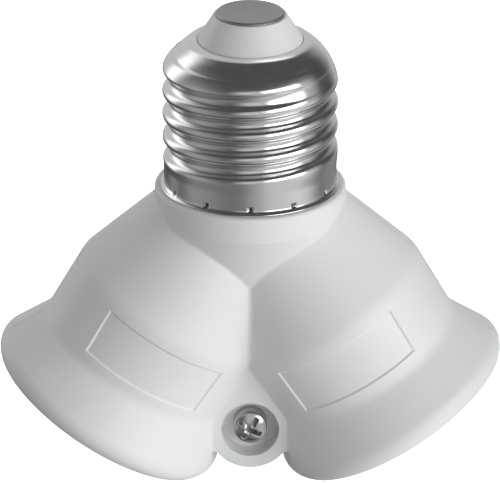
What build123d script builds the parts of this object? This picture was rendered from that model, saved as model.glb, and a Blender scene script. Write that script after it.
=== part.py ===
from build123d import *
import os
from math import asin, cos, radians, sin, sqrt, tan

# A lamp socket adapter: one screw cap on top feeds two sockets that splay down and out.
# Millimetres, +Z up along the cap, -Y to the front, origin where the cap sits on the neck.

# Screw cap
thread_pitch = 25.4 / 7
crest_radius = 13.1
thread_depth = 1.1
crest_width = 0.62
bevel_width = 1.62
bevel_drop = 0.36
foot_width = 2.92
thread_lead = 2.34
cap_sheet = 0.4
skirt_radius = 12.92
skirt_height = 4.6
thread_height = 17.2
run_out_tilt = 6.0
shoulder_radius = 13.17
shoulder_round = 9.0
dome_slope = 41.0
dome_flat_radius = 9.0
dome_knee = 2.0
dome_rim_radius = 7.9
dome_rim_height = 23.0
relief_flank = 0.7
core_rise = 0.06
stake_count = 12
stake_radius = 0.6
stake_depth = 0.25
stake_height = 1.25

# Cap insulator and contact
cap_height = 27.25
contact_radius = 5.1
contact_thickness = 0.45
contact_edge = 0.15
stem_radius = 2.0
stem_length = 10.5
insulator_top_radius = 5.45
insulator_flange_radius = 10.4
insulator_flange_thickness = 1.1
insulator_skirt_wall = 1.4

# Neck
collar_ledge = 1.4
collar_height = 4.0
collar_round = 0.5
neck_blend = 1.0
neck_slope = 24.0
neck_depth = 16.0
neck_bore_depth = 9.0
spigot_height = 17.0
spigot_wall = 2.0
junction_drop = 0.55

# Arms, measured along each socket's axis from where the two axes meet
arm_angle = 31.8
arm_root_radius = 8.65
arm_cover = 0.6
chamber_start = 4.0
wall = 2.0
shoulder_lead = 0.4
shoulder_blend = 6.0
barrel_wall = 1.99
barrel_draft = 0.31
flare_length = 7.76
flare_rise = 3.98
flare_blend = 2.5
lip_drop = 1.5
lip_inset = 1.4
lip_round = 2.7
rim_thickness = 1.5
mouth_depth = 6.15
septum = 1.4
crease_round = 0.6

# Socket inserts
socket_radius = 13.35
socket_sheet = 0.4
socket_length = 12.8
socket_floor_inset = 0.8
socket_lead_in = 0.2
socket_bend = 0.8
bulkhead = 2.0
base_flange_radius = 12.5
base_flange_thickness = 1.9
base_flange_width = 3.1
hub_length = 4.45
hub_floor = 1.4
hub_wall = 1.2
tongue_sheet = 0.5
tongue_width = 5.0
tongue_rise = 1.4
tongue_room = 1.0
tongue_flat = 0.2
tongue_tip = 2.6
tongue_droop = 0.45
tongue_curve = 1.0
contact_rivet_edge = 1.6
shell_rivet_edge = 1.6
rivet_radius = 0.8
rivet_head_radius = 1.4
rivet_head = 0.6
rivet_pocket = 1.7

# Wires
wire_radius = 0.8
live_wire_spacing = 2.0
wire_bend = 2.5
neutral_reach = 4.0
neutral_rise = 2.0
neutral_turn = 1.0
neutral_run = 3.6
wire_notch_width = 2.2

# Screw boss between the sockets
boss_radius = 6.3
boss_face = 7.2
boss_lead = 1.73
boss_blend = 0.6
counterbore_radius = 4.4
counterbore_depth = 3.4
screw_radius = 1.4
screw_length = 9.0
screw_point = 1.2
screw_head_radius = 2.3
screw_head_height = 3.3
screw_head_edge = 2.8
screw_cross_length = 3.2
screw_cross_width = 0.75
screw_cross_depth = 1.2
screw_cross_turn = 60.0
screw_clearance = 0.25
screw_hole_spare = 0.7

# Blank label recess on the front of each barrel
panel_width = 19.4
panel_lead = 1.55
panel_height = 7.7
panel_depth = 0.25

# Gap between pieces that fit into each other
gap = 0.05
seat_gap = 0.1


def turned(*points, rounds=()):
    """A solid of revolution about Z through (radius, height) points, with some corners rounded."""
    profile = make_face(Polyline(*points, close=True))
    for corner, radius in rounds:
        profile = fillet(profile.vertices().sort_by_distance(corner)[0], radius)
    return revolve(Plane.XZ * profile, Axis.Z)


def rod(radius, low, high, offset=0):
    """A cylinder along Z between two heights, moved sideways along X."""
    return Pos(offset, 0, (low + high) / 2) * Cylinder(radius, high - low)


def curved(edges):
    """The edges that are neither straight nor round, as where two turned forms meet."""
    return edges.filter_by(lambda edge: edge.geom_type not in (GeomType.LINE, GeomType.CIRCLE))


def wire_along(points, radius, bends):
    """A round wire along straight runs joined by tangent arcs, in the plane Y = 0."""
    route = FilletPolyline(*[(x, 0, z) for x, z in points], radius=bends)
    return sweep((route ^ 0) * Circle(radius), path=route)


# Sizes that follow from the cap
root_radius = crest_radius - thread_depth
core_radius = root_radius + core_rise
core_inside = core_radius - cap_sheet
skirt_inside = skirt_radius - cap_sheet
dome_fall = tan(radians(dome_slope))
shoulder_corner = dome_rim_height - (shoulder_radius - dome_flat_radius) * dome_fall
shoulder_low = shoulder_corner - shoulder_round * tan(radians(90 - dome_slope) / 2)
flat_inside = dome_flat_radius - cap_sheet * tan(radians(dome_slope) / 2)
insulator_top = cap_height - contact_thickness
stem_end = insulator_top - stem_length
spigot_bore = core_inside - gap - spigot_wall


def dome_inside(radius):
    """Height of the dome's inside at a radius on its shoulder arc."""
    bend = shoulder_round - cap_sheet
    return shoulder_low + sqrt(bend**2 - (radius - shoulder_radius + shoulder_round) ** 2)


# Places along each arm's axis
slant = radians(arm_angle)
flange_back = ((base_flange_radius + seat_gap) * cos(slant) + septum / 2) / sin(slant)
seat = flange_back + base_flange_thickness
socket_front = seat + socket_length
rim_reach = socket_front + mouth_depth
lip_reach = rim_reach - lip_drop
barrel_end = lip_reach - flare_length
shoulder_reach = flange_back + shoulder_lead
bulkhead_back = flange_back - bulkhead
hub_back = flange_back - hub_length
hub_face = hub_back + hub_floor
hub_radius = base_flange_radius - base_flange_width
socket_floor_hole = hub_radius - socket_floor_inset
shell_rivet_offset = base_flange_radius - shell_rivet_edge
tongue_tail = hub_radius - hub_wall - tongue_room
contact_rivet_offset = tongue_tail - contact_rivet_edge
tongue_bend = contact_rivet_offset - rivet_head_radius - tongue_flat
socket_outside = socket_radius + socket_sheet
socket_bore = socket_outside + seat_gap
shoulder_out = socket_bore + barrel_wall
barrel_out = shoulder_out - barrel_draft
lip_out = barrel_out + flare_rise
rim_out = lip_out - lip_inset
arm_taper = (shoulder_out - arm_root_radius) / shoulder_reach
arm_rise = arm_root_radius * sin(slant) + arm_cover - junction_drop
arm_start = arm_rise / (cos(slant) - arm_taper * sin(slant))
collar_radius = skirt_radius + collar_ledge
boss_drop = junction_drop + (barrel_end - boss_lead) / cos(slant)
left_arm = Plane(
    origin=(0, 0, -junction_drop),
    x_dir=(-cos(slant), 0, sin(slant)),
    z_dir=(-sin(slant), 0, -cos(slant)),
)


def arm_radius(reach):
    """Outer radius of the arm's cone at a distance along its axis."""
    return arm_root_radius + arm_taper * reach


def arm_point(reach, offset):
    """The (x, z) place of a point on the left arm, offset away from the cap axis."""
    x = -reach * sin(slant) - offset * cos(slant)
    z = -junction_drop - reach * cos(slant) + offset * sin(slant)
    return x, z


def on_left(solid):
    """A solid modelled about Z, placed on the left arm."""
    return left_arm.location * solid


def on_right(solid):
    """The mirror image of a solid on the left arm."""
    return mirror(solid, about=Plane.YZ)


def thread_ridge():
    """The cap's screw ridge: a right-hand helix with a crest, two bevels and two flanks on each turn."""
    foot = root_radius + core_rise / 2
    buried = core_inside + cap_sheet / 2
    upper = [
        (crest_radius, crest_width / 2),
        (crest_radius - bevel_drop, bevel_width / 2),
        (foot, foot_width / 2),
        (buried, foot_width / 2),
    ]
    lower = [(radius, -side) for radius, side in reversed(upper)]
    section = make_face(Polyline(*upper, *lower, close=True))
    start = skirt_height - thread_lead
    helix = Helix(thread_pitch, thread_height + thread_pitch - start, root_radius)
    ridge = sweep(Plane.XZ * section, path=helix, is_frenet=True)
    return Pos(0, 0, start) * ridge


def cap_shell():
    """The drawn sheet cap: plain skirt with punched stakes, thread running out on the dome, and rim."""
    corner = (shoulder_radius, shoulder_corner)
    knee = (dome_flat_radius, dome_rim_height)
    barrel_top = shoulder_low - thread_pitch
    dome = turned(
        (0, barrel_top),
        (shoulder_radius, barrel_top),
        corner,
        knee,
        (0, dome_rim_height),
        rounds=[(corner, shoulder_round), (knee, dome_knee)],
    )
    blank = dome + turned(
        (0, 0),
        (skirt_radius, 0),
        (skirt_radius, skirt_height),
        (shoulder_radius, skirt_height),
        (shoulder_radius, barrel_top),
        (0, barrel_top),
    )
    beyond = shoulder_radius + relief_flank
    run_out = Pos(0, 0, thread_height) * Rot(Y=run_out_tilt)
    below_run_out = run_out * turned(
        (0, -thread_height),
        (beyond, -thread_height),
        (beyond, relief_flank),
        (core_radius, -relief_flank),
        (0, -relief_flank),
    )
    relief = below_run_out & turned(
        (core_radius, skirt_height + relief_flank),
        (beyond, skirt_height - relief_flank),
        (beyond, dome_rim_height),
        (core_radius, dome_rim_height),
    )
    inside = turned(
        (0, -1),
        (skirt_inside, -1),
        (skirt_inside, skirt_height - cap_sheet),
        (core_inside, skirt_height + relief_flank - cap_sheet),
        (core_inside, dome_inside(core_inside)),
        (insulator_flange_radius, dome_inside(insulator_flange_radius)),
        (flat_inside, dome_rim_height - cap_sheet),
        (dome_rim_radius, dome_rim_height - cap_sheet),
        (dome_rim_radius, dome_rim_height + 1),
        (0, dome_rim_height + 1),
    )
    punch = Pos(0, 0, stake_height) * Rot(Y=-90) * Cone(2 * stake_radius, 0, 2 * stake_depth)
    stakes = PolarLocations(skirt_radius, stake_count) * punch
    crest_room = blank + run_out * Pos(0, 0, -thread_height) * dome
    shell = (blank - relief) + (thread_ridge() & crest_room)
    return shell - inside - stakes


def cap_contact():
    """The flat centre contact with the stem that carries the live wires."""
    disc = turned(
        (0, insulator_top),
        (contact_radius, insulator_top),
        (contact_radius, cap_height - contact_edge),
        (contact_radius - contact_edge, cap_height),
        (0, cap_height),
    )
    return disc + rod(stem_radius, stem_end, insulator_top)


def cap_insulator():
    """The white cone between contact and shell, held under the dome and seated on the spigot."""
    bore = stem_radius + gap
    throat = dome_rim_radius - gap
    flange = insulator_flange_radius
    under_flat = dome_rim_height - cap_sheet - gap
    under_edge = dome_inside(flange) - gap
    flange_low = under_edge - insulator_flange_thickness
    return turned(
        (bore, insulator_top),
        (insulator_top_radius, insulator_top),
        (throat, dome_rim_height),
        (throat, under_flat),
        (flat_inside - gap, under_flat),
        (flange, under_edge),
        (flange, spigot_height),
        (flange - insulator_skirt_wall, spigot_height),
        (flange - insulator_skirt_wall, flange_low),
        (bore, flange_low),
    )


def arm_outside():
    """The arm's outer form about Z: cone, shoulder, barrel, flared bell and curled lip."""
    shoulder = (shoulder_out, shoulder_reach)
    neck_of_flare = (barrel_out, barrel_end)
    lip = (lip_out, lip_reach)
    return turned(
        (0, arm_start),
        (arm_radius(arm_start), arm_start),
        shoulder,
        neck_of_flare,
        lip,
        (rim_out, rim_reach),
        (0, rim_reach),
        rounds=[(shoulder, shoulder_blend), (neck_of_flare, flare_blend), (lip, lip_round)],
    )


def arm_hollow():
    """The arm's inner form about Z: wire chamber, bulkhead, insert pocket, bore and mouth."""
    mouth_in = rim_out - rim_thickness
    stepped = turned(
        (0, chamber_start),
        (arm_radius(chamber_start) - wall, chamber_start),
        (arm_radius(bulkhead_back) - wall, bulkhead_back),
        (hub_radius + seat_gap, bulkhead_back),
        (hub_radius + seat_gap, flange_back),
        (base_flange_radius + seat_gap, flange_back),
        (base_flange_radius + seat_gap, seat),
        (socket_bore, seat),
        (socket_bore, socket_front),
        (mouth_in, rim_reach),
        (0, rim_reach),
    )
    return stepped + rod(rivet_pocket, bulkhead_back, flange_back, shell_rivet_offset)


def barrel_radius(reach):
    """Outer radius of the barrel at a distance along the arm's axis."""
    along = (reach - shoulder_reach) / (barrel_end - shoulder_reach)
    return shoulder_out - barrel_draft * along


def label_recess():
    """A shallow blank panel on the barrel's front, with four walls that slope at 45 degrees."""
    low = shoulder_reach + panel_lead
    high = low + panel_height
    band = turned(
        (barrel_radius(low) + panel_depth, low - panel_depth),
        (barrel_radius(low) - panel_depth, low + panel_depth),
        (barrel_radius(high) - panel_depth, high - panel_depth),
        (barrel_radius(high) + panel_depth, high + panel_depth),
    )
    radius = barrel_radius((low + high) / 2)
    side = asin(panel_width / 2 / radius)
    across = 2 * panel_depth * (sin(side) + cos(side))
    inward = 2 * panel_depth * (cos(side) - sin(side))
    x = panel_width / 2
    y = -radius * cos(side)
    right = [(x + across, -shoulder_out - wall), (x + across, y - inward), (x - across, y + inward)]
    left = [(-x, y) for x, y in reversed(right)]
    window = extrude(make_face(Polyline(*right, *left, close=True)), rim_reach)
    return band & window


def housing():
    """The whole moulded body before it is parted: neck, spigot, two arms and the screw boss."""
    neck_low = collar_radius - (neck_depth - collar_height) * tan(radians(neck_slope))
    collar_top = (collar_radius, 0)
    neck = turned(
        (0, 0),
        collar_top,
        (collar_radius, -collar_height),
        (neck_low, -neck_depth),
        (0, -neck_depth),
        rounds=[(collar_top, collar_round), ((collar_radius, -collar_height), neck_blend)],
    )
    left = on_left(arm_outside())
    body = neck + left + on_right(left)
    body = fillet(curved(body.edges()), crease_round)
    boss = Plane.XZ * (Pos(0, -boss_drop) * Circle(boss_radius))
    web_height = boss_drop - junction_drop - shoulder_reach
    web = Plane.XZ * (Pos(0, -boss_drop + web_height / 2) * Rectangle(2 * boss_radius, web_height))
    post = extrude(boss + web, boss_face, both=True)
    joined = body + post
    body = fillet(curved(new_edges(body, post, combined=joined)), boss_blend)
    spigot = turned(
        (0, 0),
        (skirt_inside - gap, 0),
        (skirt_inside - gap, skirt_height - cap_sheet - gap),
        (core_inside - gap, skirt_height + relief_flank - cap_sheet),
        (core_inside - gap, spigot_height),
        (0, spigot_height),
    )
    hollow = on_left(arm_hollow())
    body = body + spigot - hollow - on_right(hollow)
    body -= rod(spigot_bore, -neck_bore_depth, spigot_height)
    notch_depth = neutral_rise + wire_notch_width / 2
    notch = Box(2 * skirt_radius, wire_notch_width, notch_depth)
    return body - Pos(0, 0, spigot_height - notch_depth / 2) * notch


def front_and_rear(body):
    """The two mouldings, parted on the plane through all three axes, with the screw's holes."""
    front = split(body, bisect_by=Plane.XZ, keep=Keep.TOP)
    rear = split(body, bisect_by=Plane.XZ, keep=Keep.BOTTOM)
    recess = on_left(label_recess())
    at_boss = Pos(0, 0, -boss_drop) * Rot(X=90)
    counterbore = rod(counterbore_radius, boss_face - counterbore_depth, boss_face + 1)
    clear_hole = rod(screw_radius + screw_clearance, -gap, boss_face)
    reach = screw_length - boss_face + counterbore_depth
    pilot = rod(screw_radius + gap, -reach - screw_hole_spare, gap)
    front = front - recess - on_right(recess) - at_boss * counterbore - at_boss * clear_hole
    return front, rear - at_boss * pilot


def housing_screw():
    """A pan-head cross-recessed screw, head to the front in the counterbore."""
    crown = screw_head_height - screw_head_edge
    ball = (screw_head_radius**2 + crown**2) / (2 * crown)
    head = rod(screw_head_radius, 0, screw_head_height)
    head &= Pos(0, 0, screw_head_height - ball) * Sphere(ball)
    shank = turned(
        (0, 0),
        (screw_radius, 0),
        (screw_radius, -screw_length + screw_point),
        (0, -screw_length),
    )
    slot = Box(screw_cross_length, screw_cross_width, 2 * screw_cross_depth)
    cross = Rot(Z=screw_cross_turn) * slot + Rot(Z=screw_cross_turn - 90) * slot
    cross = Pos(0, 0, screw_head_height) * cross
    under_head = boss_face - counterbore_depth
    return Pos(0, -under_head, -boss_drop) * Rot(X=90) * (head + shank - cross)


def socket_shell():
    """The socket's drawn sheet cup about Z, plain where its thread runs, open at the floor."""
    floor = seat + socket_sheet
    cup = turned(
        (socket_floor_hole, seat),
        (socket_outside - socket_bend, seat),
        (socket_outside, seat + socket_bend),
        (socket_outside, socket_front),
        (socket_radius + socket_lead_in, socket_front),
        (socket_radius, socket_front - 2 * socket_lead_in),
        (socket_radius, floor + socket_bend),
        (socket_radius - socket_bend, floor),
        (socket_floor_hole, floor),
    )
    return cup - rod(rivet_radius + gap, seat - 1, seat + 1, shell_rivet_offset)


def socket_base():
    """The insulating cup behind the shell, with a flange that the two mouldings grip."""
    recess = hub_radius - hub_wall
    cup = turned(
        (0, hub_back),
        (hub_radius, hub_back),
        (hub_radius, flange_back),
        (base_flange_radius, flange_back),
        (base_flange_radius, seat),
        (recess, seat),
        (recess, hub_face),
        (0, hub_face),
    )
    hole = rivet_radius + gap
    cup -= rod(hole, hub_back - 1, hub_face + 1, -contact_rivet_offset)
    return cup - rod(hole, flange_back - 1, seat + 1, shell_rivet_offset)


def rivet(low, high, offset):
    """A rivet about Z whose two heads close on faces at low and high."""
    shank = rod(rivet_radius, low, high, offset)
    heads = rod(rivet_head_radius, low - rivet_head, low, offset)
    heads += rod(rivet_head_radius, high, high + rivet_head, offset)
    return shank + heads


def contact_tongue():
    """The bent spring strip that presses on a lamp's centre contact."""
    foot = hub_face + tongue_sheet / 2
    route = FilletPolyline(
        (-tongue_tail, 0, foot),
        (-tongue_bend, 0, foot),
        (0, 0, foot + tongue_rise),
        (tongue_tip, 0, foot + tongue_rise - tongue_droop),
        radius=tongue_curve,
    )
    strip = sweep((route ^ 0) * Rectangle(tongue_sheet, tongue_width), path=route)
    return strip - rod(rivet_radius + gap, hub_face - 1, hub_face + 1, -contact_rivet_offset)


def live_wire():
    """The left wire from the cap contact's stem to the left tongue's rivet."""
    tail = hub_back - rivet_head
    x = -live_wire_spacing / 2
    bend = (contact_rivet_offset * cos(slant) - x) / sin(slant)
    corner = arm_point(bend, -contact_rivet_offset)
    end = arm_point(tail, -contact_rivet_offset)
    return wire_along([(x, stem_end), corner, end], wire_radius, wire_bend)


def neutral_wire():
    """The left wire from the cap shell's inside, through the spigot's notch, to the shell's rivet."""
    tail = flange_back - rivet_head
    touch = sqrt(core_inside**2 - wire_radius**2)
    inner = core_inside - neutral_reach
    top = spigot_height - neutral_rise
    points = [(-touch, top), (-inner, top), (-inner, -neutral_turn)]
    points += [arm_point(tail - neutral_run, shell_rivet_offset), arm_point(tail, shell_rivet_offset)]
    return wire_along(points, wire_radius, wire_bend)


front_housing, rear_housing = front_and_rear(housing())
tongue_top = hub_face + tongue_sheet
left_pieces = {
    "socket_shell": on_left(socket_shell()),
    "socket_base": on_left(socket_base()),
    "shell_rivet": on_left(rivet(flange_back, seat + socket_sheet, shell_rivet_offset)),
    "contact_tongue": on_left(contact_tongue()),
    "contact_rivet": on_left(rivet(hub_back, tongue_top, -contact_rivet_offset)),
    "live_wire": live_wire(),
    "neutral_wire": neutral_wire(),
}
pieces = {
    "front_housing": front_housing,
    "rear_housing": rear_housing,
    "housing_screw": housing_screw(),
    "cap_shell": cap_shell(),
    "cap_insulator": cap_insulator(),
    "cap_contact": cap_contact(),
}
for name, piece in left_pieces.items():
    pieces["left_" + name] = piece
    pieces["right_" + name] = on_right(piece)

os.makedirs("parts", exist_ok=True)
for name, piece in pieces.items():
    export_step(piece, f"parts/{name}.step")
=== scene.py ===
from collections import namedtuple
from math import asin, cos, floor, pi, radians, sin, sqrt, tan

import bpy
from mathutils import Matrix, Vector


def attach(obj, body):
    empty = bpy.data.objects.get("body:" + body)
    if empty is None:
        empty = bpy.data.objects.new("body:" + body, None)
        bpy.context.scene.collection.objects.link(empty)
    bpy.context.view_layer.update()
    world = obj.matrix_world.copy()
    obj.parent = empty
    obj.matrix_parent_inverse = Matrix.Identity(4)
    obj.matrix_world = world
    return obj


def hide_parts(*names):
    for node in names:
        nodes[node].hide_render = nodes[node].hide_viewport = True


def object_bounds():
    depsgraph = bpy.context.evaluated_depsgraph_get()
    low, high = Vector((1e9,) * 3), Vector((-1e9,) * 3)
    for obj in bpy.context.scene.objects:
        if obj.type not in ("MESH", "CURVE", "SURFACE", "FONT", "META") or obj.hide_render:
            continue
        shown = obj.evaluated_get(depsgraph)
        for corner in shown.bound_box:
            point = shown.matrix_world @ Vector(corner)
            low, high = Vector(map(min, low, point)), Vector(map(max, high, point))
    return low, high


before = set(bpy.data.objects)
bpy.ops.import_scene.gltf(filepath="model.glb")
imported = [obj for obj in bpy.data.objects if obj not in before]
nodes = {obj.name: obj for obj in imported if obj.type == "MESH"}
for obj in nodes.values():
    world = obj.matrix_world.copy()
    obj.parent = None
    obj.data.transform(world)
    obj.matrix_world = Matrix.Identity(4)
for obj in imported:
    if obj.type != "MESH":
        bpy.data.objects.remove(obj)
cad_low, cad_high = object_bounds()

MM = 0.001
BODY = "root"

# Cap sizes repeated from the part's source, in millimetres
PITCH = 25.4 / 7
CREST = 13.1
THREAD_DEPTH = 1.1
CORE_RISE = 0.06
CORE = CREST - THREAD_DEPTH + CORE_RISE
SHEET = 0.4
SKIRT = 12.92
SKIRT_TOP = 4.6
THREAD_LEAD = 2.34
THREAD_START = SKIRT_TOP - THREAD_LEAD
SHOULDER = 13.17
SHOULDER_ROUND = 9.0
DOME_SLOPE = radians(41)
DOME_FLAT = 9.0
DOME_KNEE = 2.0
DOME_RIM = 7.9
DOME_Z = 23.0
RELIEF_FLANK = 0.7
SHOULDER_CORNER = DOME_Z - (SHOULDER - DOME_FLAT) * tan(DOME_SLOPE)
SHOULDER_LOW = SHOULDER_CORNER - SHOULDER_ROUND * tan((pi / 2 - DOME_SLOPE) / 2)

# Arm, socket and boss sizes repeated from the part's source, in millimetres
ARM = radians(31.8)
JUNCTION = -0.55
BASE_FLANGE = 12.5
FLANGE_THICKNESS = 1.9
SEAT_GAP = 0.1
HALF_SEPTUM = 0.7
SEAT = ((BASE_FLANGE + SEAT_GAP) * cos(ARM) + HALF_SEPTUM) / sin(ARM) + FLANGE_THICKNESS
SOCKET_LENGTH = 12.8
SOCKET_FRONT = SEAT + SOCKET_LENGTH
SOCKET = 13.35
SOCKET_SHEET = 0.4
SOCKET_FLOOR_HOLE = 8.6
MOUTH_DEPTH = 6.15
LIP_DROP = 1.5
FLARE_LENGTH = 7.76
BARREL_END = SOCKET_FRONT + MOUTH_DEPTH - LIP_DROP - FLARE_LENGTH
BOSS_LEAD = 1.73
BOSS_Z = JUNCTION - (BARREL_END - BOSS_LEAD) / cos(ARM)
BOSS_FACE = 7.2
COUNTERBORE_DEPTH = 3.4
SCREW_SEAT_Y = COUNTERBORE_DEPTH - BOSS_FACE

# Noise in the materials: patches per metre, detail and roughness
PLASTIC_TONE = (55.0, 3.0, 0.5)
PLASTIC_GLOSS = (140.0, 4.0, 0.5)
METAL_TONE = (90.0, 4.0, 0.5)
METAL_RUB = (420.0, 5.0, 0.65)
FLOOR_TONE = (3.0, 2.0, 0.5)

# Detail and roughness of the grain, whose scale each material gives
PLASTIC_GRAIN = (2.0, 0.6)
METAL_GRAIN = (3.0, 0.55)

# Share of the noise that the low and the high value stand at
NOISE_ENDS = (0.3, 0.7)

# Light that goes into the white plastic, in metres, and its gloss
PLASTIC_IOR = 1.49
GLOW_RADIUS = (0.001, 0.00095, 0.0009)
GLOW_SCALE = 0.6

# Parting line of the mouldings, in metres
SEAM_HALF = 0.00018
SEAM_DEPTH = 0.00015

# Punched faces of the cap: the mesh attribute that marks them, and the near-black painted shade that
# darkens their hollows
STAKE_SHADE_MARK = "stake_mark"
STAKE_SHADE_COLOUR = (0.06, 0.058, 0.055)


# Node helpers

def new_material(name):
    """A new node material, its node tree and its principled shader."""
    material = bpy.data.materials.new(name)
    material.use_nodes = True
    tree = material.node_tree
    return material, tree, tree.nodes["Principled BSDF"]


def add_node(tree, kind, **values):
    """A node with some of its properties or input defaults set."""
    node = tree.nodes.new(kind)
    for key, value in values.items():
        if hasattr(node, key):
            setattr(node, key, value)
        else:
            node.inputs[key.replace("_", " ")].default_value = value
    return node


def noise(tree, scale, detail, rough, stretch=None):
    """Noise over the piece's own coordinates, optionally stretched."""
    out = add_node(tree, "ShaderNodeTexCoord").outputs["Object"]
    if stretch:
        mapping = add_node(tree, "ShaderNodeMapping", Scale=stretch)
        tree.links.new(out, mapping.inputs["Vector"])
        out = mapping.outputs["Vector"]
    node = add_node(tree, "ShaderNodeTexNoise", Scale=scale, Detail=detail, Roughness=rough)
    tree.links.new(out, node.inputs["Vector"])
    return node.outputs["Fac"]


def ramp(tree, source, low, high):
    """A two-stop ramp from one colour to another."""
    node = add_node(tree, "ShaderNodeValToRGB")
    for stop, place, colour in zip(node.color_ramp.elements, NOISE_ENDS, (low, high)):
        stop.position = place
        stop.color = (*colour, 1)
    tree.links.new(source, node.inputs["Fac"])
    return node.outputs["Color"]


def span(tree, source, low, high, ends=NOISE_ENDS):
    """A number that goes from low to high as its source goes from one end to the other."""
    node = add_node(tree, "ShaderNodeMapRange", From_Min=ends[0], From_Max=ends[1], To_Min=low, To_Max=high)
    tree.links.new(source, node.inputs["Value"])
    return node.outputs["Result"]


def bump(tree, shader, height, distance):
    """A bump of some metres, added to what the shader's normal already has."""
    node = add_node(tree, "ShaderNodeBump", Distance=distance)
    tree.links.new(height, node.inputs["Height"])
    for link in shader.inputs["Normal"].links:
        tree.links.new(link.from_socket, node.inputs["Normal"])
    tree.links.new(node.outputs["Normal"], shader.inputs["Normal"])


def parting_line(tree, shader):
    """A fine groove where the two mouldings meet, on the plane y = 0."""
    place = add_node(tree, "ShaderNodeTexCoord")
    axes = add_node(tree, "ShaderNodeSeparateXYZ")
    tree.links.new(place.outputs["Object"], axes.inputs["Vector"])
    away = add_node(tree, "ShaderNodeMath", operation="ABSOLUTE")
    tree.links.new(axes.outputs["Y"], away.inputs[0])
    bump(tree, shader, span(tree, away.outputs["Value"], 0.0, 1.0, (0.0, SEAM_HALF)), SEAM_DEPTH)


def painted_shade(tree, colour, mark, shade_colour):
    """A colour darkened with painted shade where a mark is set on the mesh."""
    place = add_node(tree, "ShaderNodeAttribute", attribute_name=mark)
    mix = add_node(tree, "ShaderNodeMixRGB", Color2=(*shade_colour, 1))
    tree.links.new(place.outputs["Fac"], mix.inputs["Fac"])
    tree.links.new(colour, mix.inputs["Color1"])
    return mix.outputs["Color"]


# Materials

def plastic(name, low, high, rough, grain, depth, glow=0.0, seam=False):
    """Moulded plastic: slight tone drift, a fine spark-eroded grain and uneven gloss."""
    material, tree, shader = new_material(name)
    tree.links.new(ramp(tree, noise(tree, *PLASTIC_TONE), low, high), shader.inputs["Base Color"])
    tree.links.new(span(tree, noise(tree, *PLASTIC_GLOSS), *rough), shader.inputs["Roughness"])
    bump(tree, shader, noise(tree, grain, *PLASTIC_GRAIN), depth)
    if seam:
        parting_line(tree, shader)
    shader.inputs["IOR"].default_value = PLASTIC_IOR
    shader.inputs["Subsurface Weight"].default_value = glow
    shader.inputs["Subsurface Radius"].default_value = GLOW_RADIUS
    shader.inputs["Subsurface Scale"].default_value = GLOW_SCALE
    return material


def metal(name, low, high, rough, streak=None, grain=900.0, depth=0.000004, mark=None):
    """Plated or plain metal: tone drift, faint streaks and rubbed, uneven gloss, with painted shade where
    marked.
    """
    material, tree, shader = new_material(name)
    shader.inputs["Metallic"].default_value = 1.0
    colour = ramp(tree, noise(tree, *METAL_TONE), low, high)
    # Painted shade in the stakes' hollows, where the mesh is marked
    if mark:
        colour = painted_shade(tree, colour, mark, STAKE_SHADE_COLOUR)
    tree.links.new(colour, shader.inputs["Base Color"])
    tree.links.new(span(tree, noise(tree, *METAL_RUB, streak), *rough), shader.inputs["Roughness"])
    bump(tree, shader, noise(tree, grain, *METAL_GRAIN, streak), depth)
    return material


WHITE = plastic(
    "satin_white_plastic",
    (0.855, 0.855, 0.86),
    (0.895, 0.895, 0.90),
    (0.42, 0.52),
    grain=5200.0,
    depth=0.000012,
    glow=0.05,
    seam=True,
)
INSULATOR = plastic(
    "smooth_white_insulator",
    (0.86, 0.86, 0.86),
    (0.90, 0.90, 0.90),
    (0.30, 0.38),
    grain=3000.0,
    depth=0.000006,
)
BASE = plastic(
    "matte_base_plastic",
    (0.66, 0.65, 0.62),
    (0.74, 0.73, 0.70),
    (0.5, 0.62),
    grain=2600.0,
    depth=0.00002,
)
LIVE = plastic(
    "brown_sleeve",
    (0.17, 0.07, 0.03),
    (0.23, 0.10, 0.045),
    (0.32, 0.45),
    grain=1500.0,
    depth=0.00001,
)
NEUTRAL = plastic(
    "blue_sleeve",
    (0.03, 0.10, 0.34),
    (0.05, 0.14, 0.42),
    (0.32, 0.45),
    grain=1500.0,
    depth=0.00001,
)
# Cap nickel, with painted shade in the hollows of the punched stakes
NICKEL = metal(
    "bright_nickel_plate",
    (0.67, 0.665, 0.655),
    (0.75, 0.745, 0.735),
    (0.15, 0.24),
    streak=(1, 1, 0.2),
    mark=STAKE_SHADE_MARK,
)
SOCKET_NICKEL = metal("socket_nickel_plate", (0.56, 0.555, 0.54), (0.66, 0.655, 0.64), (0.16, 0.28))
CONTACT = metal(
    "matte_contact_metal",
    (0.32, 0.32, 0.32),
    (0.39, 0.39, 0.385),
    (0.36, 0.50),
    streak=(1, 14, 1),
    depth=0.000006,
)
ZINC = metal("bright_zinc_screw", (0.52, 0.52, 0.515), (0.70, 0.70, 0.69), (0.12, 0.24))
BRASS = metal("plain_brass", (0.62, 0.45, 0.19), (0.72, 0.54, 0.26), (0.2, 0.34), streak=(1, 8, 1))


# Mesh helpers

def add_piece(name, verts, faces, material, replaced):
    """A new smooth piece in the row frame, from points in millimetres, that stands for a CAD node."""
    mesh = bpy.data.meshes.new(name)
    mesh.from_pydata([(x * MM, y * MM, z * MM) for x, y, z in verts], [], faces)
    mesh.validate()
    mesh.polygons.foreach_set("use_smooth", [True] * len(mesh.polygons))
    mesh.materials.append(material)
    piece = bpy.data.objects.new(name, mesh)
    bpy.context.scene.collection.objects.link(piece)
    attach(piece, BODY)
    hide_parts(replaced)
    return piece


def round_angles(count):
    """Equal angles once round a circle."""
    return [2 * pi * k / count for k in range(count)]


def ring_grid(rows, around):
    """Faces of a closed tube of rings; each row is a full ring, and the last joins the first."""
    faces = []
    for i in range(rows):
        j = (i + 1) % rows
        for k in range(around):
            m = (k + 1) % around
            faces.append((i * around + k, i * around + m, j * around + m, j * around + k))
    return faces


def clamp(value):
    """A number held between 0 and 1."""
    return min(max(value, 0.0), 1.0)


def ease(low, high, value):
    """A smooth step from 0 at low to 1 at high."""
    share = clamp((value - low) / (high - low))
    return share * share * (3 - 2 * share)


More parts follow.
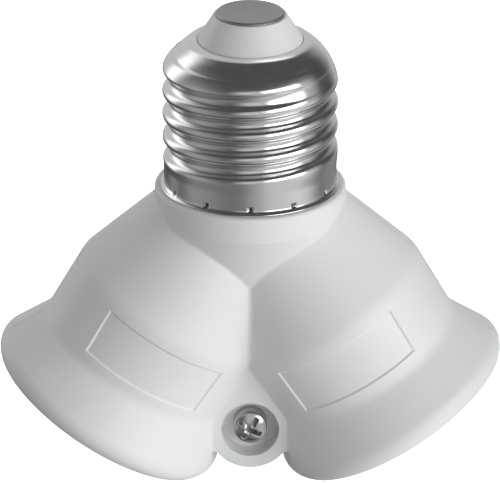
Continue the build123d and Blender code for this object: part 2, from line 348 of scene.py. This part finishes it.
def soft_min(a, b, k):
    """The smaller of two numbers with a rounded corner of size k."""
    near = max(k - abs(a - b), 0.0) / k
    return min(a, b) - near * near * k / 4


def knuckle(offset, depth, crest):
    """Radius of a rounded thread at an offset from its crest: equal crest and root arcs."""
    arc = (PITCH**2 / 4 + depth**2) / (4 * depth)
    away = abs((offset + PITCH / 2) % PITCH - PITCH / 2)
    if away <= PITCH / 4:
        return crest - arc + sqrt(arc**2 - away**2)
    return crest - depth + arc - sqrt(arc**2 - (PITCH / 2 - away) ** 2)


# Screw cap with its rolled thread, hem and punched stakes

# Steps of the cap's mesh, finer up to the top of the stakes
CAP_AROUND = 384
FINE_STEP = 0.08
FINE_TOP = 1.8
COARSE_STEP = 0.13
SHOULDER_STEPS = 14
KNEE_STEPS = 12

# Flared hem
HEM = 0.5
HEM_EDGE = 0.14
HEM_HEIGHT = 0.75
HEM_ROWS = [0.0, 0.06, HEM_EDGE]

# Punched stakes
STAKES = 12
STAKE_LOW = 0.35
STAKE_HIGH = 1.2
STAKE_HALF = 0.42
STAKE_DEPTH = 0.38
STAKE_BACK = 9
# Dent depth at which the painted shade in a stake is full
SHADE_FULL_DEPTH = 0.2

# Burr beside each stake: its height, then its place in half widths and its top in heights of a stake
BURR = 0.05
BURR_MIDDLE = 1.3
BURR_HALF = 0.4
BURR_TOP = 1.15

# Thread: the turns in which its groove fades in and out, and how its crest rises to the dome
GROOVE_IN = (0.08, 0.42)
GROOVE_OUT = (3.62, 4.04)
BARREL_FADE = (SKIRT_TOP - 1.5, SKIRT_TOP + 0.6)
CREST_LIFT = 2.6
LIFT_FADE = (16.5, 22.0)
CREST_BLEND = 0.2
THREAD_TOP = 20.6

# Rim of the dome and the inside of its knee
RIM_ROUND = 0.1
RIM_BEVEL = 0.03
RIM_INSIDE = 0.12
KNEE_INSIDE = 0.15


def dome_radius(z):
    """Outer radius of the plain barrel and shoulder at a height."""
    rise = max(z - SHOULDER_LOW, 0.0)
    return SHOULDER - SHOULDER_ROUND + sqrt(SHOULDER_ROUND**2 - rise**2)


def dome_profile():
    """Points (r, z) over the dome above the thread: shoulder arc, cone, knee and rim."""
    points = []
    steep = pi / 2 - DOME_SLOPE
    start = asin((THREAD_TOP - SHOULDER_LOW) / SHOULDER_ROUND)
    for i in range(1, SHOULDER_STEPS + 1):
        angle = start + (steep - start) * i / SHOULDER_STEPS
        radius = SHOULDER - SHOULDER_ROUND + SHOULDER_ROUND * cos(angle)
        points.append((radius, SHOULDER_LOW + SHOULDER_ROUND * sin(angle)))
    cut = DOME_KNEE * tan(DOME_SLOPE / 2)
    for i in range(KNEE_STEPS + 1):
        angle = DOME_SLOPE * (1 - i / KNEE_STEPS)
        points.append((DOME_FLAT - cut + DOME_KNEE * sin(angle), DOME_Z - DOME_KNEE * (1 - cos(angle))))
    return points + [(DOME_RIM + RIM_ROUND, DOME_Z), (DOME_RIM + RIM_BEVEL, DOME_Z - RIM_BEVEL)]


def cap_inside():
    """Points (r, z) down the inside of the cap, from its rim to the skirt's lower edge."""
    core = CORE - SHEET
    bend = SHOULDER_ROUND - SHEET
    core_top = SHOULDER_LOW + sqrt(bend**2 - (core - SHOULDER + SHOULDER_ROUND) ** 2)
    return [
        (DOME_RIM, DOME_Z - RIM_INSIDE),
        (DOME_RIM, DOME_Z - SHEET),
        (DOME_FLAT - KNEE_INSIDE, DOME_Z - SHEET),
        (core, core_top),
        (core, SKIRT_TOP + RELIEF_FLANK - SHEET),
        (SKIRT - SHEET, SKIRT_TOP - SHEET),
        (SKIRT - SHEET, 0.0),
    ]


def cap_outside(z, angle):
    """Outer radius of skirt, thread and shoulder: the groove fades in on the skirt and out on the dome."""
    turn = angle / (2 * pi)
    along = (z - THREAD_START) / PITCH - turn
    at_groove = turn + floor(along)
    groove = ease(*GROOVE_IN, at_groove) * (1 - ease(*GROOVE_OUT, at_groove))
    lift = CREST_LIFT * (1 - cos(angle)) / 2 * (1 - ease(*LIFT_FADE, z))
    barrel = SKIRT + (CREST - SKIRT) * ease(*BARREL_FADE, z)
    plain = soft_min(dome_radius(z - lift), barrel, CREST_BLEND)
    return plain - groove * (CREST - knuckle(along * PITCH, THREAD_DEPTH, CREST))


def stake_dent(z, angle):
    """How far a stake presses the skirt in: a ramp up to a sharp upper edge, with a burr each side."""
    step = 2 * pi / STAKES
    away = abs((angle + step / 2) % step - step / 2) * SKIRT / STAKE_HALF
    rise = (z - STAKE_LOW) / (STAKE_HIGH - STAKE_LOW)
    if rise <= 0:
        return 0.0
    dent = STAKE_DEPTH * (rise if rise <= 1 else max(1 - STAKE_BACK * (rise - 1), 0.0))
    burr = BURR * max(1 - abs(away - BURR_MIDDLE) / BURR_HALF, 0.0) if rise <= BURR_TOP else 0.0
    return dent * max(1 - away**4, 0.0) - burr


def hem_flare(z):
    """How far the hem flares out from the skirt at a height: a hollow curve down to a thin edge."""
    return HEM * clamp((HEM_HEIGHT - z) / (HEM_HEIGHT - HEM_EDGE)) ** 2


def cap_shell():
    """The plated sheet cap, one closed skin with its inside, its punched faces marked for painted shade."""
    angles = round_angles(CAP_AROUND)
    heights = list(HEM_ROWS)
    while heights[-1] < THREAD_TOP - FINE_STEP:
        heights.append(heights[-1] + (FINE_STEP if heights[-1] < FINE_TOP else COARSE_STEP))
    rows = []
    for z in heights:
        rows.append([(cap_outside(z, a) + hem_flare(z) - stake_dent(z, a), z) for a in angles])
    rows += [[point] * CAP_AROUND for point in dome_profile() + cap_inside()]
    verts = [(r * cos(a), r * sin(a), z) for row in rows for a, (r, z) in zip(angles, row)]
    faces = ring_grid(len(rows), CAP_AROUND)
    cap = add_piece("cap_shell_dressed", verts, faces, NICKEL, "cap_shell")
    # Painted shade in each stake's hollow, growing with the depth of the dent
    shade_marks = [clamp(stake_dent(z, a) / SHADE_FULL_DEPTH) for z in heights for a in angles]
    shade_marks += [0.0] * (len(verts) - len(shade_marks))
    cap.data.attributes.new(STAKE_SHADE_MARK, "FLOAT", "POINT").data.foreach_set("value", shade_marks)


cap_shell()


# Housing screw with a tapered cross recess and a thread

# Steps of the screw's mesh
SCREW_AROUND = 168
CROWN_STEPS = 56
ROUND_STEPS = 8
SHANK_STEPS = 80

# Head and cross recess
HEAD = 2.55
HEAD_TOP = 3.3
HEAD_CROWN = 0.7
HEAD_ROUND = 0.3
HEAD_BEVEL = 0.1
CROSS_TURN = radians(56)
CROSS_REACH = 2.0
CROSS_HALF = 0.55
CROSS_TAPER = 0.35
CROSS_DEPTH = 1.5
CROSS_STEEP = 7

# Threaded shank and its point
SHANK = 1.4
SHANK_LENGTH = 9.0
POINT_LENGTH = 1.2
POINT_RADIUS = 0.05
SCREW_PITCH = 1.0
SCREW_THREAD = 0.3
SCREW_FLANK = 1.6


def cross_depth(x, y):
    """Depth of the cross recess at a place on the head: four wings that taper to their ends."""
    deepest = 0.0
    for turn in (CROSS_TURN, CROSS_TURN + pi / 2):
        along = abs(x * cos(turn) + y * sin(turn)) / CROSS_REACH
        aside = abs(y * cos(turn) - x * sin(turn))
        wing = CROSS_DEPTH * max(1 - along**4, 0.0)
        wall = max(CROSS_HALF * (1 - CROSS_TAPER * along) - aside, 0.0) * CROSS_STEEP
        deepest = max(deepest, min(wing, wall))
    return deepest


def head_rings():
    """Rings (radius, height) over the crown of the screw's head and round its rim."""
    flat = HEAD - HEAD_ROUND
    ball = (HEAD**2 + HEAD_CROWN**2) / (2 * HEAD_CROWN)
    rings = []
    for i in range(1, CROWN_STEPS + 1):
        r = flat * i / CROWN_STEPS
        rings.append((r, HEAD_TOP - ball + sqrt(ball**2 - r**2)))
    rim = rings[-1][1]
    for i in range(1, ROUND_STEPS + 1):
        angle = pi / 2 * i / ROUND_STEPS
        rings.append((flat + HEAD_ROUND * sin(angle), rim - HEAD_ROUND * (1 - cos(angle))))
    return rings


def shank_radius(z, turn):
    """Radius of the threaded shank at a height and a share of a turn, down to a blunt point."""
    away = abs((z / SCREW_PITCH - turn) % 1 - 0.5) * 2
    point = min((SHANK_LENGTH + z) / POINT_LENGTH, 1.0)
    return max((SHANK - SCREW_THREAD * min(away * SCREW_FLANK, 1.0)) * point, POINT_RADIUS)


def screw():
    """The cross-head screw, head to the front, as one closed skin."""
    angles = round_angles(SCREW_AROUND)
    verts = [(0.0, 0.0, HEAD_TOP - cross_depth(0, 0))]
    for r, z in head_rings():
        for a in angles:
            x, y = r * cos(a), r * sin(a)
            verts.append((x, y, z - cross_depth(x, y)))
    for r, z in ((HEAD, HEAD_BEVEL), (HEAD - HEAD_BEVEL, 0.0), (SHANK, 0.0)):
        verts += [(r * cos(a), r * sin(a), z) for a in angles]
    for i in range(1, SHANK_STEPS + 1):
        z = -SHANK_LENGTH * i / SHANK_STEPS
        for k, a in enumerate(angles):
            r = shank_radius(z, k / SCREW_AROUND)
            verts.append((r * cos(a), r * sin(a), z))
    last = len(verts) - SCREW_AROUND
    faces = [(0, 1 + k, 1 + (k + 1) % SCREW_AROUND) for k in range(SCREW_AROUND)]
    for low in range(1, last, SCREW_AROUND):
        high = low + SCREW_AROUND
        for k in range(SCREW_AROUND):
            m = (k + 1) % SCREW_AROUND
            faces.append((low + k, high + k, high + m, low + m))
    faces.append(tuple(range(last, len(verts))))
    placed = [(x, SCREW_SEAT_Y - z, BOSS_Z + y) for x, y, z in verts]
    add_piece("housing_screw_dressed", placed, faces, ZINC, "housing_screw")


screw()


# Socket cups with their rolled threads, both right-handed

# Steps of a cup's mesh
CUP_AROUND = 160
CUP_STEPS = 76

# Floor of a cup, and its thread with the lengths in which it fades in and out
CUP_LOW = SEAT + SOCKET_SHEET
FLOOR_CORNER = 0.45
CUP_THREAD = 0.85
CUP_CLEARANCE = 0.02
LEAST_THREAD = 0.02
FADE_IN_START = 0.8
FADE_IN_LENGTH = 1.6
FADE_OUT_END = 0.7
FADE_OUT_LENGTH = 1.4


def cup_wall(t, angle):
    """Inner radius of a cup's wall: its thread fades in above the floor and out at the mouth."""
    fade_in = clamp((t - CUP_LOW - FADE_IN_START) / FADE_IN_LENGTH)
    fade_out = clamp((SOCKET_FRONT - FADE_OUT_END - t) / FADE_OUT_LENGTH)
    depth = CUP_THREAD * fade_in * fade_out
    plain = SOCKET - CUP_CLEARANCE
    if depth < LEAST_THREAD:
        return plain
    return knuckle(t - PITCH * angle / (2 * pi), depth, plain)


def socket_cup(name, side):
    """The sheet cup of one socket, with its thread rolled into the wall."""
    reach = Vector((side * sin(ARM), 0, -cos(ARM)))
    out = Vector((side * cos(ARM), 0, sin(ARM)))
    across = reach.cross(out)
    base = Vector((0, 0, JUNCTION))
    angles = round_angles(CUP_AROUND)
    rows = [(CUP_LOW, [r] * CUP_AROUND) for r in (SOCKET_FLOOR_HOLE, SOCKET - FLOOR_CORNER)]
    heights = [CUP_LOW + (SOCKET_FRONT - CUP_LOW) * i / CUP_STEPS for i in range(CUP_STEPS + 1)]
    wall = [(t, [cup_wall(t, a) for a in angles]) for t in heights]
    rows += wall
    rows += [(t, [r + SOCKET_SHEET for r in radii]) for t, radii in reversed(wall)]
    rows += [(SEAT, [r] * CUP_AROUND) for r in (SOCKET + SOCKET_SHEET, SOCKET_FLOOR_HOLE)]
    verts = []
    for t, radii in rows:
        for r, a in zip(radii, angles):
            point = base + reach * t + out * (r * cos(a)) + across * (r * sin(a))
            verts.append(point[:])
    faces = ring_grid(len(rows), CUP_AROUND)
    add_piece(f"{name}_socket_cup", verts, faces, SOCKET_NICKEL, f"{name}_socket_shell")


socket_cup("left", -1)
socket_cup("right", 1)


# Finishes of the CAD pieces that keep their own form

FINISHES = {
    "front_housing": WHITE,
    "rear_housing": WHITE,
    "cap_insulator": INSULATOR,
    "cap_contact": CONTACT,
    "socket_base": BASE,
    "shell_rivet": BRASS,
    "contact_tongue": BRASS,
    "contact_rivet": BRASS,
    "live_wire": LIVE,
    "neutral_wire": NEUTRAL,
}
for node_name, node in nodes.items():
    finish = FINISHES.get(node_name.replace("left_", "").replace("right_", ""))
    if finish:
        node.data.materials.clear()
        node.data.materials.append(finish)


# Camera at the photograph's angle

WIDTH = 500
FOCAL_PIXELS = 5036
SENSOR = 36
ELEVATION = radians(22.67)
DISTANCE = 753.8 * MM
AIM_SIDE = -0.03
AIM_DROP = 8.906
AIM = Vector((AIM_SIDE, -AIM_DROP * sin(ELEVATION), -AIM_DROP * cos(ELEVATION))) * MM
NEAR = 0.01
FAR = 20


def add_camera():
    """The camera in front of the part and above it, with a plain view transform."""
    lens = bpy.data.cameras.new("camera")
    lens.sensor_width = SENSOR
    lens.lens = FOCAL_PIXELS * SENSOR / WIDTH
    lens.clip_start = NEAR
    lens.clip_end = FAR
    camera = bpy.data.objects.new("camera", lens)
    bpy.context.scene.collection.objects.link(camera)
    camera.location = (0, -DISTANCE * cos(ELEVATION), DISTANCE * sin(ELEVATION))
    camera.rotation_euler = (AIM - camera.location).to_track_quat("-Z", "Y").to_euler()
    bpy.context.scene.camera = camera
    bpy.context.scene.view_settings.view_transform = "Standard"


add_camera()


# Floor, white to the camera, clear from below and out of the reflections

FLOOR_HALF = 6.0
FLOOR_DROP = 0.03
FLOOR_GLOW = 1.1
FLOOR_ROUGH = 0.9


def either(tree, choice, first, second, output):
    """Send one of two shaders to an output, the second where the choice is 1."""
    mix = add_node(tree, "ShaderNodeMixShader")
    tree.links.new(choice, mix.inputs["Fac"])
    tree.links.new(first, mix.inputs[1])
    tree.links.new(second, mix.inputs[2])
    tree.links.new(mix.outputs["Shader"], tree.nodes[output].inputs["Surface"])


def floor_material():
    """Pale and faintly mottled from above, clear from below."""
    material, tree, shader = new_material("pale_floor")
    tone = ramp(tree, noise(tree, *FLOOR_TONE), (0.97, 0.97, 0.97), (1.0, 1.0, 1.0))
    tree.links.new(tone, shader.inputs["Base Color"])
    tree.links.new(tone, shader.inputs["Emission Color"])
    shader.inputs["Emission Strength"].default_value = FLOOR_GLOW
    shader.inputs["Roughness"].default_value = FLOOR_ROUGH
    from_below = add_node(tree, "ShaderNodeNewGeometry").outputs["Backfacing"]
    clear = add_node(tree, "ShaderNodeBsdfTransparent").outputs["BSDF"]
    either(tree, from_below, shader.outputs["BSDF"], clear, "Material Output")
    return material


def pale_floor():
    """A plain pale floor under the part."""
    corners = [(-1, -1), (1, -1), (1, 1), (-1, 1)]
    mesh = bpy.data.meshes.new("floor")
    mesh.from_pydata([(x * FLOOR_HALF, y * FLOOR_HALF, 0) for x, y in corners], [], [(0, 1, 2, 3)])
    mesh.materials.append(floor_material())
    piece = bpy.data.objects.new("floor", mesh)
    bpy.context.scene.collection.objects.link(piece)
    piece.location.z = cad_low.z - FLOOR_DROP
    piece.visible_glossy = False
    piece.visible_diffuse = False
    piece.visible_shadow = False


pale_floor()


# Soft studio light: a faint even base and soft-edged panels round the part

# Angles in degrees, azimuth from the front towards the right
Panel = namedtuple("Panel", "azimuth half side_soft low high edge_soft strength")
PANELS = {
    "key": Panel(46, 24, 5, -1, 27, 4, 4.65),
    "key_bounce": Panel(50, 42, 26, -60, -8, 9, 0.6),
    "table_left": Panel(-45, 50, 14, -46, -8, 9, 0.12),
    "table_rear": Panel(137, 27, 15, -46, -8, 9, 0.18),
    "left_rear": Panel(-124, 11, 8, -14, 37, 16, 1.05),
    "right_rear": Panel(150, 24, 10, 50, 75, 8, 1.0),
    "rear": Panel(195, 52, 19, -15, 100, 10, 0.55),
    "table_right": Panel(118, 56, 20, -81, -45, 10, 0.85),
    "front_fill": Panel(0, 18, 13, -8, 32, 12, 0.6),
    "left_fill": Panel(-78, 31, 31, -17, 29, 28, 0.36),
    "right_side": Panel(74, 22, 13, -20, 28, 12, 0.42),
}
AMBIENT = 0.085
LIGHT_COLOUR = (0.99, 0.995, 1.0, 1)
BACKDROP = (1, 1, 1, 1)


def link_math(tree, operation, *sources):
    """A math node fed by sockets or plain numbers."""
    node = add_node(tree, "ShaderNodeMath", operation=operation)
    for socket, source in zip(node.inputs, sources):
        if isinstance(source, (int, float)):
            socket.default_value = source
        else:
            tree.links.new(source, socket)
    return node.outputs["Value"]


def soft_edge(tree, source, middle, soft, low, high):
    """A smooth change from low to high about a middle, as wide as twice the softness."""
    node = add_node(tree, "ShaderNodeMapRange", interpolation_type="SMOOTHSTEP", To_Min=low, To_Max=high)
    node.inputs["From Min"].default_value = radians(middle - soft)
    node.inputs["From Max"].default_value = radians(middle + soft)
    tree.links.new(source, node.inputs["Value"])
    return node.outputs["Result"]


def studio():
    """The light round the part, which the camera itself sees as plain white."""
    world = bpy.data.worlds.new("studio")
    bpy.context.scene.world = world
    world.use_nodes = True
    tree = world.node_tree
    place = add_node(tree, "ShaderNodeTexCoord")
    axes = add_node(tree, "ShaderNodeSeparateXYZ")
    tree.links.new(place.outputs["Generated"], axes.inputs["Vector"])
    front = link_math(tree, "MULTIPLY", axes.outputs["Y"], -1.0)
    azimuth = link_math(tree, "ARCTAN2", axes.outputs["X"], front)
    elevation = link_math(tree, "ARCSINE", axes.outputs["Z"])
    total = AMBIENT
    for panel in PANELS.values():
        turned = link_math(tree, "SUBTRACT", azimuth, radians(panel.azimuth))
        away = link_math(tree, "ABSOLUTE", link_math(tree, "WRAP", turned, pi, -pi))
        across = soft_edge(tree, away, panel.half, panel.side_soft, panel.strength, 0.0)
        above = soft_edge(tree, elevation, panel.low, panel.edge_soft, 0.0, 1.0)
        below = soft_edge(tree, elevation, panel.high, panel.edge_soft, 1.0, 0.0)
        light = link_math(tree, "MULTIPLY", across, link_math(tree, "MULTIPLY", above, below))
        total = link_math(tree, "ADD", light, total)
    lit = tree.nodes["Background"]
    lit.inputs["Color"].default_value = LIGHT_COLOUR
    tree.links.new(total, lit.inputs["Strength"])
    seen = add_node(tree, "ShaderNodeBackground", Color=BACKDROP)
    ray = add_node(tree, "ShaderNodeLightPath").outputs["Is Camera Ray"]
    either(tree, ray, lit.outputs["Background"], seen.outputs["Background"], "World Output")


studio()
